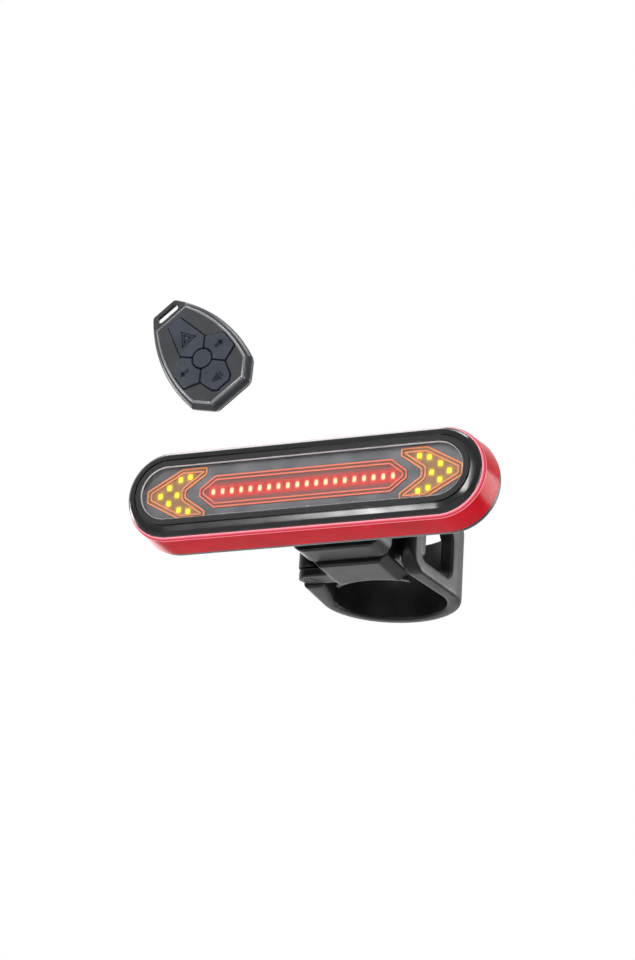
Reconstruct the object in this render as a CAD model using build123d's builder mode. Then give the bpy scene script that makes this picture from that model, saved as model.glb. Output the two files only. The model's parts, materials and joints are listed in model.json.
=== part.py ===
from build123d import *
import math
import os

os.makedirs("parts", exist_ok=True)

# Bicycle turn signal light on its seat post bracket, with the small remote that works it.
# All lengths are in millimetres. The origin is on the seat post's axis at the light's mid height.
# X runs along the light, -Y points backwards from the post to the traffic behind, +Z is up.
# A distance named front, rear or face is measured along -Y from the post's axis.

# Overall sizes of the light
light_length = 101.8
light_height = 26.4
light_depth = 15.0
light_radius = light_height / 2
half_length = light_length / 2
core_length = light_length - light_height

# Seat post and the bracket's depth in front of it
post_radius = 15.8
block_depth = 15.0
clip_depth = 10.0
neck_depth = 11.5
block_front = post_radius + block_depth
clip_front = block_front + clip_depth
shell_rear = clip_front + neck_depth
face_front = shell_rear + light_depth

# Rear shell and red side ring
rim_depth = 3.3
rim_inset = 0.2
rim_round = 2.0
shell_wall = 1.4
shell_floor = 1.8
ring_wall = 1.4
ring_gap = 0.1
ring_setback = 2.4
ring_chamfer_depth = 1.2
ring_chamfer_width = 0.5
ring_draft = 5.29
ring_side_depth = light_depth - rim_depth - ring_chamfer_depth - ring_setback
rim_front = shell_rear + rim_depth
ring_shoulder = rim_front + ring_side_depth
ring_shoulder_radius = light_radius - ring_side_depth * math.tan(math.radians(ring_draft))
ring_chamfer_angle = math.degrees(math.atan(ring_chamfer_width / ring_chamfer_depth))
shell_radius = light_radius - ring_wall - ring_gap
cavity_radius = shell_radius - shell_wall
cavity_floor = shell_rear + shell_floor

# Bezel: a flat lip, a groove and a two step bevel that falls back to the red ring
bezel_setback = 0.3
bezel_gap = 0.05
bezel_inset = 1.5
bezel_side_depth = 2.7
bevel_low_depth = 0.9
bevel_low_width = 0.9
bevel_top_depth = 0.6
bevel_top_width = 1.5
groove_width = 0.4
groove_depth = 0.5
bezel_radius = light_radius - bezel_inset
bezel_front = face_front - bezel_setback
bevel_rear = bezel_front - bevel_top_depth - bevel_low_depth
bezel_rear = bevel_rear - bezel_side_depth
bevel_low_angle = math.degrees(math.atan(bevel_low_width / bevel_low_depth))
bevel_top_angle = math.degrees(math.atan(bevel_top_width / bevel_top_depth))
groove_outer_radius = bezel_radius - bevel_low_width - bevel_top_width

# Lens and its gasket
lens_inset = 5.8
lens_step = 1.2
flange_width = 0.9
flange_thickness = 1.0
lens_round = 0.4
lens_gap = 0.1
gasket_thickness = 0.6
gasket_width = 1.0
lens_radius = light_radius - lens_inset
flange_radius = lens_radius + flange_width
flange_front = face_front - lens_step
lens_rear = flange_front - flange_thickness

# Light mask and the light guides that show through it
mask_thickness = 1.0
mask_gap = 0.1
skirt_wall = 0.6
skirt_depth = 1.6
rib_width = 0.4
rib_height = 0.4
rib_pitch = 1.0
guide_corner = 0.5
mask_front = lens_rear - gasket_thickness
mask_rear = mask_front - mask_thickness
mask_radius = cavity_radius - mask_gap

# Bar shaped guide: a long hexagon with flat tips, set in from the light's ends
bar_tip_inset = 21.7
bar_tip_flat = 1.1
bar_shoulder_inset = 26.1
bar_height_inset = 2.8
bar_half_height = lens_radius - bar_height_inset
bar_tip = half_length - bar_tip_inset
bar_shoulder = half_length - bar_shoulder_inset

# Arrow shaped guides, set in from the light's ends
arrow_tip_inset = 6.6
arrow_tip_flat = 1.7
arrow_shoulder_inset = 16.4
arrow_height_inset = 0.2
arrow_arm_inset = 2.2
arrow_half_height = lens_radius - arrow_height_inset
arrow_arm = arrow_half_height - arrow_arm_inset
arrow_end_inset = 23.8
arrow_notch_inset = 18.1
arrow_notch_flat = 0.9
arrow_tip = half_length - arrow_tip_inset
arrow_shoulder = half_length - arrow_shoulder_inset
arrow_end = half_length - arrow_end_inset
arrow_notch = half_length - arrow_notch_inset

# Board, lamps and what stands on the board's back
board_thickness = 1.0
board_gap = 0.3
board_front = mask_rear - skirt_depth
board_rear = board_front - board_thickness
red_count = 20
red_end_gap = 4.025
red_width = 1.25
red_height = 2.0
amber_width = 1.6
amber_height = 2.0
lamp_depth = 0.8
amber_x_shares = (0.727, 0.788, 0.858)
amber_z_shares = (0.667, 0.586, 0.307)
amber_middle_shares = (0.806, 0.914)
chip_size = 4.0
chip_thickness = 1.0
chip_inset = 24.9
chip_z = 3.0
radio_width = 6.0
radio_height = 9.0
radio_thickness = 1.2
radio_inset = 25.4

red_pitch = 2 * (bar_tip - red_end_gap) / (red_count - 1)
chip_x = half_length - chip_inset
radio_x = half_length - radio_inset

# Battery
battery_length_share = 0.3143
battery_side_room = 2.3
battery_gap = 1.0
battery_round = 1.0
pad_thickness = 1.2
pad_width = 4.0
pad_height_inset = 1.0
battery_height = 2 * (cavity_radius - battery_side_room)
pad_height = battery_height - 2 * pad_height_inset
pad_inset = 3.5
battery_length = battery_length_share * light_length
pad_x = battery_length / 2 - pad_inset
battery_thickness = board_rear - cavity_floor - pad_thickness - battery_gap

# Screws
shell_screw_room = 4.0
shell_screw_side_room = 4.3
screw_radius = 1.0
screw_head_radius = 1.9
screw_head_height = 1.0
screw_gap = 0.05
boss_radius = 2.2
post_wall = 0.9
clip_screw_inset = 4.5
clip_screw_reach = 6.0
clip_screw_end_gap = 1.0
mask_bite = 0.6
shell_screw_x = battery_length / 2 + shell_screw_room
shell_screw_z = shell_radius - shell_screw_side_room
clip_screw_x = pad_x - clip_screw_inset

# Charging socket and its cover
port_inset = 16.9
port_width = 10.0
port_height = 4.2
socket_width = 9.0
socket_height = 3.2
socket_wall = 0.4
socket_back = 1.5
socket_inset = 1.6
cover_width = 14.0
cover_height = 8.0
cover_thickness = 1.2
cover_plug = 1.2
cover_plug_gap = 0.4
cover_seat = 0.1
cover_corner = 0.9
port_x = half_length - port_inset

# Power button and its switch
button_inset = 16.9
button_radius = 3.4
button_proud = 0.6
button_flange_radius = 4.4
button_flange = 0.9
button_gap = 0.1
button_seat = 0.05
button_travel = 0.6
button_stem_radius = 1.4
button_dish = 0.3
switch_size = 6.0
switch_height = 3.0
plunger_radius = 1.2
plunger_height = 0.7
button_x = half_length - button_inset

# Rear clip with its rail
neck_half_width = 11.0
neck_half_height = 7.5
neck_round = 3.0
clip_half_width = 12.8
clip_half_height = 9.5
clip_round = 4.0
clip_edge = 0.8
slide_gap = 0.15
clip_gap = 0.3
stop_gap = 0.05
rail_stem_width = 8.0
rail_stem_depth = 3.0
rail_head_width = 14.0
rail_head_depth = 2.8
rail_drop = 7.0
rail_bottom = -rail_drop
rail_top = clip_half_height
clip_rear = block_front + clip_gap
rail_neck = clip_rear - rail_stem_depth
rail_rear = rail_neck - rail_head_depth

# Bracket block
block_width_inset = 4.8
block_half_height = 10.7
block_corner = 1.5
block_chamfer = 2.5
block_side_overlap = 1.8
saddle_pad_thickness = 1.5
saddle_pad_inset = 0.4
saddle_pad_half_height = 10.0
block_half_width = post_radius - block_width_inset
saddle_pad_half_width = block_half_width - saddle_pad_inset
saddle_radius = post_radius + saddle_pad_thickness
block_side_rear = post_radius - block_side_overlap

# Strap: a wrap round the post's far side, an eye on the left pin and a loop for the right hook
strap_thickness = 4.0
strap_half_height = 11.0
strap_edge = 1.2
strap_outer = post_radius + strap_thickness
strap_middle = post_radius + strap_thickness / 2
bend_gap = 0.3
pin_radius = 1.5
pin_gap = 0.05
pin_inset = 0.3
pin_ahead = 4.2
pin_x = pin_inset - post_radius
pin_front = post_radius + pin_ahead
eye_radius = 3.4
eye_half_height = 7.5
ear_gap = 0.3
ear_thickness = 2.4
ear_round = 3.2
ear_root = 1.0
ear_start = -block_half_width - ear_root
hook_overreach = 1.2
hook_ahead = 1.7
hook_depth = 4.8
hook_half_height = 5.8
hook_round = 2.2
hook_tip_round = 0.7
hook_seat = 0.2
loop_bar_radius = 2.3
loop_bar_inset = 0.8
loop_corner = 7.0
window_half_height = 7.1
window_corner = 3.5
window_rear = 3.6
hook_reach = post_radius + hook_overreach
hook_rear = post_radius + hook_ahead
hook_front = hook_rear + hook_depth
loop_bar_x = post_radius - loop_bar_inset
loop_bar_front = hook_front + hook_seat + loop_bar_radius

# Remote: place, tilt in its own plane and outline
remote_x = -55.2
remote_z = 61.3
remote_mid_front = 12.45
remote_tilt = 38.8
remote_half_width = 11.4
remote_loop_half = 4.2
remote_top = 23.2
remote_side_u = 9.6
remote_side_v = 13.0
remote_low_side = -9.6
remote_low_half = 6.6
remote_bottom = -15.1
remote_corner = 1.2
remote_front_height = 3.2
remote_side_height = 1.2
remote_parting_inset = 0.5
remote_back_height = 3.0
remote_face_rise = 0.6
remote_face_inset = 1.3
remote_face_top = 18.3
remote_face_slope = 45.0
remote_wall = 1.4
remote_back_wall = 2.9
remote_roof = 1.2
remote_floor = 1.0
remote_face_edge = 1.0
remote_back_edge = 2.4
remote_back_corner = 3.2
lanyard_width = 7.4
lanyard_height = 1.8
lanyard_v = 20.7
tab_v = 18.9
tab_low = 1.1
tab_high = 2.7

# Remote keys: a round one and four round it
centre_key_radius = 2.9
key_gap = 0.4
key_wall_gap = 0.2
key_ring_radius = centre_key_radius + key_gap
key_diagonal_u = 4.8
key_diagonal_v = 5.4
key_low_v = 5.7
hazard_top = 16.0
hazard_half = 2.4
side_key_u = 9.8
side_key_high = 1.8
side_key_shoulder = 8.9
side_key_shoulder_v = 2.9
side_key_low = -3.8
horn_bottom = -11.6
horn_half = 2.4
horn_side = 3.6
horn_side_v = -10.3
key_thickness = 1.6
key_proud = 0.6
key_round = 0.3
key_travel = 0.5
key_corner = 0.4

# Inside the remote
sheet_thickness = 0.6
sheet_gap = 0.1
remote_board_thickness = 0.8
remote_board_seat = 0.2
remote_board_gap = 0.3
sheet_margin = 0.4
dome_radius = 1.4
cell_radius = 6.25
cell_thickness = 1.6
cell_v = 0.5
cell_clip_width = 3.0
cell_clip_thickness = 0.3
cell_clip_reach = 7.0
remote_post_radius = 1.3
remote_screw_radius = 0.7
remote_screw_head = 1.2
remote_screw_head_height = 0.6
remote_screw_bite = 1.2
remote_screw_u = 6.2
remote_screw_high_v = 9.8
remote_screw_low_v = -9.0

# One overrun serves all cuts that run out of a face
overrun = 2.0


def behind(distance):
    """Plane across the light, facing the traffic behind, at a distance from the post's axis."""
    return Plane.XZ.offset(distance)


def facing_post(distance):
    """Plane across the light that faces the post."""
    return Plane(origin=(0, -distance, 0), x_dir=(1, 0, 0), z_dir=(0, 1, 0))


def stadium(radius):
    """The light's outline at a radius from the line through its two end centres."""
    SlotCenterToCenter(core_length, 2 * radius)


def save(piece, label):
    """Label a finished piece and write its file."""
    piece.part.label = label
    export_step(piece.part, "parts/" + label + ".step")


# Rear shell: rim, inner wall, floor, screw bosses, port and button openings
with BuildPart() as rear_shell:
    with BuildSketch(behind(shell_rear)):
        stadium(light_radius - rim_inset)
    extrude(amount=rim_depth)
    fillet(rear_shell.faces().sort_by(Axis.Y)[-1].edges(), radius=rim_round)
    with BuildSketch(behind(rim_front)):
        stadium(shell_radius)
    extrude(amount=bezel_rear - rim_front)
    with BuildSketch(behind(cavity_floor)):
        stadium(cavity_radius)
    extrude(amount=light_depth, mode=Mode.SUBTRACT)
    with BuildSketch(behind(cavity_floor)):
        with GridLocations(2 * shell_screw_x, 2 * shell_screw_z, 2, 2):
            Circle(boss_radius)
    extrude(amount=board_rear - cavity_floor)
    with BuildSketch(facing_post(shell_rear)):
        with GridLocations(2 * shell_screw_x, 2 * shell_screw_z, 2, 2):
            Circle(screw_head_radius + screw_gap)
    extrude(amount=-screw_head_height, mode=Mode.SUBTRACT)
    with BuildSketch(facing_post(shell_rear)):
        with GridLocations(2 * shell_screw_x, 2 * shell_screw_z, 2, 2):
            Circle(screw_radius + screw_gap)
        with Locations((-clip_screw_x, 0), (clip_screw_x, 0)):
            Circle(screw_radius + screw_gap)
        with Locations((port_x, 0)):
            SlotOverall(port_width, port_height)
        with Locations((-button_x, 0)):
            Circle(button_radius + button_gap)
    extrude(amount=-light_depth, mode=Mode.SUBTRACT)
save(rear_shell, "rear_shell")

# Red side ring: drafted side, bright chamfer in front, bored for the shell and the bezel
with BuildPart() as red_ring:
    with BuildSketch(behind(rim_front)):
        stadium(light_radius)
    extrude(amount=ring_side_depth, taper=ring_draft)
    with BuildSketch(behind(ring_shoulder)):
        stadium(ring_shoulder_radius)
    extrude(amount=ring_chamfer_depth, taper=ring_chamfer_angle)
    with BuildSketch(behind(rim_front)):
        stadium(shell_radius + ring_gap)
    extrude(amount=bezel_rear - rim_front, mode=Mode.SUBTRACT)
    with BuildSketch(behind(rim_front)):
        stadium(bezel_radius + bezel_gap)
    extrude(amount=light_depth, mode=Mode.SUBTRACT)
save(red_ring, "red_ring")

# Bezel: side, two step bevel, lip with its groove, stepped opening for the lens and the mask
with BuildPart() as bezel:
    with BuildSketch(behind(bezel_rear)):
        stadium(bezel_radius)
    extrude(amount=bezel_side_depth)
    with BuildSketch(behind(bevel_rear)):
        stadium(bezel_radius)
    extrude(amount=bevel_low_depth, taper=bevel_low_angle)
    with BuildSketch(behind(bevel_rear + bevel_low_depth)):
        stadium(bezel_radius - bevel_low_width)
    extrude(amount=bevel_top_depth, taper=bevel_top_angle)
    with BuildSketch(behind(bezel_front)):
        stadium(groove_outer_radius)
        with BuildSketch(behind(bezel_front), mode=Mode.SUBTRACT):
            stadium(groove_outer_radius - groove_width)
    extrude(amount=-groove_depth, mode=Mode.SUBTRACT)
    with BuildSketch(behind(bezel_rear)):
        stadium(lens_radius + lens_gap)
    extrude(amount=light_depth, mode=Mode.SUBTRACT)
    with BuildSketch(behind(bezel_rear)):
        stadium(flange_radius + lens_gap)
    extrude(amount=flange_front - bezel_rear, mode=Mode.SUBTRACT)
    with BuildSketch(behind(bezel_rear)):
        stadium(cavity_radius)
    extrude(amount=mask_front - bezel_rear, mode=Mode.SUBTRACT)
save(bezel, "bezel")

# Lens: a clear window with a flange behind the bezel
with BuildPart() as lens:
    with BuildSketch(behind(lens_rear)):
        stadium(flange_radius)
    extrude(amount=flange_thickness)
    with BuildSketch(behind(flange_front)):
        stadium(lens_radius)
    extrude(amount=lens_step)
    fillet(lens.faces().sort_by(Axis.Y)[0].edges(), radius=lens_round)
save(lens, "lens")

# Lens gasket: a soft frame between the flange and the mask
with BuildPart() as lens_gasket:
    with BuildSketch(behind(mask_front)):
        stadium(flange_radius)
        with BuildSketch(behind(mask_front), mode=Mode.SUBTRACT):
            stadium(flange_radius - gasket_width)
    extrude(amount=gasket_thickness)
save(lens_gasket, "lens_gasket")


def bar_points():
    """Corners of the bar shaped guide, from the upper right round to the lower right."""
    return [
        (bar_tip, bar_tip_flat),
        (bar_shoulder, bar_half_height),
        (-bar_shoulder, bar_half_height),
        (-bar_tip, bar_tip_flat),
        (-bar_tip, -bar_tip_flat),
        (-bar_shoulder, -bar_half_height),
        (bar_shoulder, -bar_half_height),
        (bar_tip, -bar_tip_flat),
    ]


def arrow_points(side):
    """Corners of an arrow guide that points to one side, 1 for right and -1 for left."""
    upper = [
        (side * arrow_tip, arrow_tip_flat),
        (side * arrow_shoulder, arrow_half_height),
        (side * arrow_end, arrow_half_height),
        (side * arrow_end, arrow_arm),
        (side * arrow_notch, arrow_notch_flat),
    ]
    lower = [(x, -z) for x, z in reversed(upper)]
    return upper + lower


def guide_outline(points):
    """A guide's outline with its corners rounded."""
    outline = Polygon(*points, align=None)
    fillet(outline.vertices(), radius=guide_corner)


def guide_sketch(points, inset):
    """A guide's outline drawn in by an inset, as a sketch of its own."""
    with BuildSketch() as outline:
        guide_outline(points)
        if inset > 0:
            offset(amount=-inset, mode=Mode.REPLACE)
    return outline.sketch


# Light mask: dark panel with windows for the guides, a skirt and four screw posts
with BuildPart() as light_mask:
    with BuildSketch(behind(mask_rear)):
        stadium(mask_radius)
        add(guide_sketch(bar_points(), 0), mode=Mode.SUBTRACT)
        add(guide_sketch(arrow_points(1), 0), mode=Mode.SUBTRACT)
        add(guide_sketch(arrow_points(-1), 0), mode=Mode.SUBTRACT)
    extrude(amount=mask_thickness)
    with BuildSketch(behind(board_front)):
        stadium(mask_radius)
        with BuildSketch(behind(board_front), mode=Mode.SUBTRACT):
            stadium(mask_radius - skirt_wall)
        with GridLocations(2 * shell_screw_x, 2 * shell_screw_z, 2, 2):
            Circle(screw_radius + post_wall)
    extrude(amount=skirt_depth)
    with BuildSketch(behind(board_front)):
        with GridLocations(2 * shell_screw_x, 2 * shell_screw_z, 2, 2):
            Circle(screw_radius + screw_gap)
    extrude(amount=skirt_depth + mask_bite, mode=Mode.SUBTRACT)
save(light_mask, "light_mask")

# Light guides: each is a plate that fills its window in the mask, with two ribs along its edge
guides = {
    "bar_light_guide": bar_points(),
    "left_arrow_light_guide": arrow_points(-1),
    "right_arrow_light_guide": arrow_points(1),
}
for guide_name, guide_points in guides.items():
    with BuildPart() as light_guide:
        with BuildSketch(behind(mask_rear)):
            add(guide_sketch(guide_points, mask_gap))
        extrude(amount=mask_thickness)
        for rib_inset in (mask_gap, mask_gap + rib_pitch):
            with BuildSketch(behind(mask_front)):
                add(guide_sketch(guide_points, rib_inset))
                add(guide_sketch(guide_points, rib_inset + rib_width), mode=Mode.SUBTRACT)
            extrude(amount=rib_height)
    save(light_guide, guide_name)

# Main board with its four screw holes
with BuildPart() as main_board:
    with BuildSketch(behind(board_rear)):
        stadium(cavity_radius - board_gap)
        with GridLocations(2 * shell_screw_x, 2 * shell_screw_z, 2, 2):
            Circle(screw_radius + screw_gap, mode=Mode.SUBTRACT)
    extrude(amount=board_thickness)
save(main_board, "main_board")

# Lamps on the board: one row of red ones, and an arrow of amber ones at each end
with BuildPart() as red_lamps:
    with BuildSketch(behind(board_front)):
        with GridLocations(red_pitch, red_pitch, red_count, 1):
            Rectangle(red_width, red_height)
    extrude(amount=lamp_depth)
save(red_lamps, "red_lamps")

for side, side_name in ((-1, "left"), (1, "right")):
    amber_places = [(side * share * arrow_tip, 0) for share in amber_middle_shares]
    for x_share, z_share in zip(amber_x_shares, amber_z_shares):
        for half in (-1, 1):
            amber_places.append((side * x_share * arrow_tip, half * z_share * arrow_half_height))
    with BuildPart() as amber_lamps:
        with BuildSketch(behind(board_front)):
            with Locations(*amber_places):
                Rectangle(amber_width, amber_height)
        extrude(amount=lamp_depth)
    save(amber_lamps, side_name + "_amber_lamps")

# Driver chips and radio module on the board's back
with BuildPart() as driver_chips:
    with BuildSketch(facing_post(board_rear)):
        with Locations((-chip_x, chip_z), (-chip_x, -chip_z)):
            Rectangle(chip_size, chip_size)
    extrude(amount=chip_thickness)
save(driver_chips, "driver_chips")

with BuildPart() as radio_module:
    with BuildSketch(facing_post(board_rear)):
        with Locations((radio_x, 0)):
            Rectangle(radio_width, radio_height)
    extrude(amount=radio_thickness)
save(radio_module, "radio_module")

# Battery on two foam pads
with BuildPart() as battery_pads:
    with BuildSketch(behind(cavity_floor)):
        with Locations((-pad_x, 0), (pad_x, 0)):
            Rectangle(pad_width, pad_height)
    extrude(amount=pad_thickness)
save(battery_pads, "battery_pads")

with BuildPart() as battery:
    with BuildSketch(behind(cavity_floor + pad_thickness)):
        RectangleRounded(battery_length, battery_height, battery_round)
    extrude(amount=battery_thickness)
save(battery, "battery")

# Charging socket: a metal shell from the board to the port
socket_mouth = shell_rear + socket_inset
with BuildPart() as charging_socket:
    with BuildSketch(behind(socket_mouth)):
        with Locations((port_x, 0)):
            SlotOverall(socket_width, socket_height)
    extrude(amount=board_rear - socket_mouth)
    with BuildSketch(behind(socket_mouth)):
        with Locations((port_x, 0)):
            SlotOverall(socket_width - 2 * socket_wall, socket_height - 2 * socket_wall)
    extrude(amount=board_rear - socket_mouth - socket_back, mode=Mode.SUBTRACT)
save(charging_socket, "charging_socket")

# Charging port cover: a soft flap that turns about the inner side of its upper edge
with BuildPart() as port_cover:
    with BuildSketch(facing_post(shell_rear - cover_seat)):
        with Locations((port_x, 0)):
            RectangleRounded(cover_width, cover_height, cover_corner)
    extrude(amount=cover_thickness)
    with BuildSketch(behind(shell_rear - cover_seat)):
        with Locations((port_x, 0)):
            SlotOverall(port_width - 2 * cover_plug_gap, port_height - 2 * cover_plug_gap)
    extrude(amount=cover_plug)
save(port_cover, "port_cover")

# Power switch on the board, and the button that presses it through the shell
plunger_rear = board_rear - switch_height - plunger_height
with BuildPart() as power_switch:
    with BuildSketch(facing_post(board_rear)):
        with Locations((-button_x, 0)):
            Rectangle(switch_size, switch_size)
    extrude(amount=switch_height)
    with BuildSketch(facing_post(board_rear - switch_height)):
        with Locations((-button_x, 0)):
            Circle(plunger_radius)
    extrude(amount=plunger_height)
save(power_switch, "power_switch")

with BuildPart() as power_button:
    with BuildSketch(behind(shell_rear - button_proud)):
        with Locations((-button_x, 0)):
            Circle(button_radius)
    extrude(amount=button_proud + shell_floor + button_seat)
    with BuildSketch(behind(cavity_floor + button_seat)):
        with Locations((-button_x, 0)):
            Circle(button_flange_radius)
    extrude(amount=button_flange)
    with BuildSketch(behind(cavity_floor + button_seat + button_flange)):
        with Locations((-button_x, 0)):
            Circle(button_stem_radius)
    extrude(
        amount=plunger_rear - button_travel - button_gap - cavity_floor - button_seat - button_flange
    )
    fillet(power_button.faces().sort_by(Axis.Y)[-1].edges(), radius=button_dish)
save(power_button, "power_button")

# Rear clip: neck, plate and the rail that drops into the bracket
with BuildPart() as rear_clip:
    with BuildSketch(behind(clip_front)):
        RectangleRounded(2 * neck_half_width, 2 * neck_half_height, neck_round)
    extrude(amount=neck_depth)
    with BuildSketch(behind(clip_rear)):
        RectangleRounded(2 * clip_half_width, 2 * clip_half_height, clip_round)
    extrude(amount=clip_front - clip_rear)
    chamfer(rear_clip.faces().filter_by(Axis.Y).sort_by(Axis.Y)[-1].edges(), length=clip_edge)
    with BuildSketch(behind(rail_neck)):
        with Locations((0, (rail_top + rail_bottom) / 2)):
            Rectangle(rail_stem_width, rail_top - rail_bottom)
    extrude(amount=rail_stem_depth)
    with BuildSketch(behind(rail_rear)):
        with Locations((0, (rail_top + rail_bottom) / 2)):
            Rectangle(rail_head_width, rail_top - rail_bottom)
    extrude(amount=rail_head_depth)
    with BuildSketch(behind(shell_rear)):
        with Locations((-clip_screw_x, 0), (clip_screw_x, 0)):
            Circle(screw_radius + screw_gap)
    extrude(amount=-clip_screw_reach, mode=Mode.SUBTRACT)
save(rear_clip, "rear_clip")

# Screws: two for the clip from inside the shell, four for the shell from its back
with BuildPart() as clip_screws:
    with BuildSketch(behind(cavity_floor)):
        with Locations((-clip_screw_x, 0), (clip_screw_x, 0)):
            Circle(screw_head_radius)
    extrude(amount=screw_head_height)
    with BuildSketch(behind(cavity_floor)):
        with Locations((-clip_screw_x, 0), (clip_screw_x, 0)):
            Circle(screw_radius)
    extrude(amount=-shell_floor - clip_screw_reach + clip_screw_end_gap)
save(clip_screws, "clip_screws")

with BuildPart() as shell_screws:
    with BuildSketch(behind(shell_rear)):
        with GridLocations(2 * shell_screw_x, 2 * shell_screw_z, 2, 2):
            Circle(screw_head_radius)
    extrude(amount=screw_head_height)
    with BuildSketch(behind(shell_rear)):
        with GridLocations(2 * shell_screw_x, 2 * shell_screw_z, 2, 2):
            Circle(screw_radius)
    extrude(amount=board_front + skirt_depth - shell_rear)
save(shell_screws, "shell_screws")

# Bracket block: body on the post, rail slot, hook on the right and pin ears on the left
pin_y = -pin_front
with BuildPart() as bracket_block:
    with BuildSketch(behind(block_side_rear)):
        Rectangle(2 * block_half_width, 2 * block_half_height)
    extrude(amount=block_front - block_side_rear)
    chamfer(bracket_block.edges().filter_by(Axis.Y), length=block_chamfer)
    fillet(bracket_block.faces().sort_by(Axis.Y)[0].edges().filter_by(Axis.Z), radius=block_corner)
    with BuildSketch(Plane.YZ):
        with Locations((-hook_rear - hook_depth / 2, 0)):
            RectangleRounded(hook_depth, 2 * hook_half_height, hook_round)
    extrude(amount=hook_reach)
    fillet(bracket_block.faces().sort_by(Axis.X)[-1].edges(), radius=hook_tip_round)
    for low in (eye_half_height + ear_gap, -eye_half_height - ear_gap - ear_thickness):
        with BuildSketch(Plane.XY.offset(low)):
            with Locations((pin_x, pin_y)):
                Circle(ear_round)
            with Locations(((pin_x + ear_start + ear_round) / 2, pin_y)):
                Rectangle(ear_start + ear_round - pin_x, 2 * ear_round)
        extrude(amount=ear_thickness)
    with Locations(Plane.XY):
        Cylinder(saddle_radius, 2 * (block_half_height + overrun), mode=Mode.SUBTRACT)
    with BuildSketch(Plane.XY.offset(rail_bottom - stop_gap)):
        with Locations((0, -block_front)):
            Rectangle(
                rail_stem_width + 2 * slide_gap,
                2 * (block_front - rail_neck + slide_gap),
            )
        with Locations((0, -(rail_rear + rail_neck) / 2)):
            Rectangle(
                rail_head_width + 2 * slide_gap,
                rail_head_depth + 2 * slide_gap,
            )
    extrude(amount=2 * block_half_height, mode=Mode.SUBTRACT)
    with BuildSketch(Plane.XY):
        with Locations((pin_x, pin_y)):
            Circle(pin_radius + pin_gap)
    extrude(amount=strap_half_height, both=True, mode=Mode.SUBTRACT)
save(bracket_block, "bracket_block")

# Saddle pad: soft liner between the block and the post
with BuildPart() as saddle_pad:
    with BuildSketch(Plane.XY):
        Circle(saddle_radius)
        Circle(post_radius, mode=Mode.SUBTRACT)
        with Locations((0, -saddle_radius)):
            Rectangle(2 * saddle_pad_half_width, 2 * saddle_radius, mode=Mode.INTERSECT)
    extrude(amount=saddle_pad_half_height, both=True)
save(saddle_pad, "saddle_pad")

# Strap pin through the left ears
with BuildPart() as strap_pin:
    with BuildSketch(Plane.XY):
        with Locations((pin_x, pin_y)):
            Circle(pin_radius)
    extrude(amount=eye_half_height + ear_gap + ear_thickness, both=True)
save(strap_pin, "strap_pin")

# Strap wrap: half ring on the post's far side, an arm to the left and the eye on the pin
with BuildPart() as strap_wrap:
    with BuildSketch(Plane.XY):
        Circle(strap_outer)
        with Locations((0, strap_outer)):
            Rectangle(2 * strap_outer, 2 * strap_outer, mode=Mode.INTERSECT)
    extrude(amount=strap_half_height, both=True)
    with BuildSketch(Plane.XY):
        with Locations((-strap_middle, 0)):
            Circle(strap_thickness / 2)
        with Locations((pin_x, pin_y)):
            Circle(eye_radius)
        make_hull()
    extrude(amount=strap_half_height, both=True)
    fillet(strap_wrap.faces().filter_by(Axis.Z).edges(), radius=strap_edge)
    with Locations(Plane.XY):
        Cylinder(post_radius, 2 * (strap_half_height + overrun), mode=Mode.SUBTRACT)
    with BuildSketch(Plane.XY):
        with Locations((strap_middle, 0)):
            Circle(strap_thickness / 2 + bend_gap)
        with Locations((pin_x, pin_y)):
            Circle(pin_radius + pin_gap)
    extrude(amount=strap_half_height, both=True, mode=Mode.SUBTRACT)
    for half in (-1, 1):
        with BuildSketch(Plane.XY.offset(half * eye_half_height)):
            with Locations((pin_x, pin_y)):
                Rectangle(2 * (eye_radius + overrun), 2 * (ear_round + ear_gap))
        extrude(amount=half * strap_half_height, mode=Mode.SUBTRACT)
save(strap_wrap, "strap_wrap")

# Strap loop: free end of the strap, with a window that goes over the right hook
with BuildPart() as strap_loop:
    with BuildSketch(Plane.XY):
        with Locations((strap_middle, 0)):
            Circle(strap_thickness / 2)
        with Locations((loop_bar_x, -loop_bar_front)):
            Circle(loop_bar_radius)
        make_hull()
    extrude(amount=strap_half_height, both=True)
    loop_end = loop_bar_front + loop_bar_radius
    with BuildSketch(Plane.YZ):
        with Locations((loop_corner - loop_end / 2, 0)):
            RectangleRounded(loop_end + 2 * loop_corner, 2 * strap_half_height, loop_corner)
    extrude(amount=hook_reach + loop_corner + overrun, both=True, mode=Mode.INTERSECT)
    with BuildSketch(Plane.YZ):
        with Locations((-(window_rear + hook_front + hook_seat) / 2, 0)):
            RectangleRounded(
                hook_front + hook_seat - window_rear,
                2 * window_half_height,
                window_corner,
            )
    extrude(amount=hook_reach + loop_corner + overrun, both=True, mode=Mode.SUBTRACT)
    with Locations(Plane.XY):
        Cylinder(post_radius, 2 * (strap_half_height + overrun), mode=Mode.SUBTRACT)
save(strap_loop, "strap_loop")

# Remote: its plane faces the traffic behind, tilted about the Y axis, u across and v to its loop
tilt = math.radians(remote_tilt)


def remote_plane(height):
    """Plane of the remote at a height above the line between its two cases."""
    return Plane(
        origin=(remote_x, -remote_mid_front - height, remote_z),
        x_dir=(math.cos(tilt), 0, math.sin(tilt)),
        z_dir=(0, -1, 0),
    )


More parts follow.
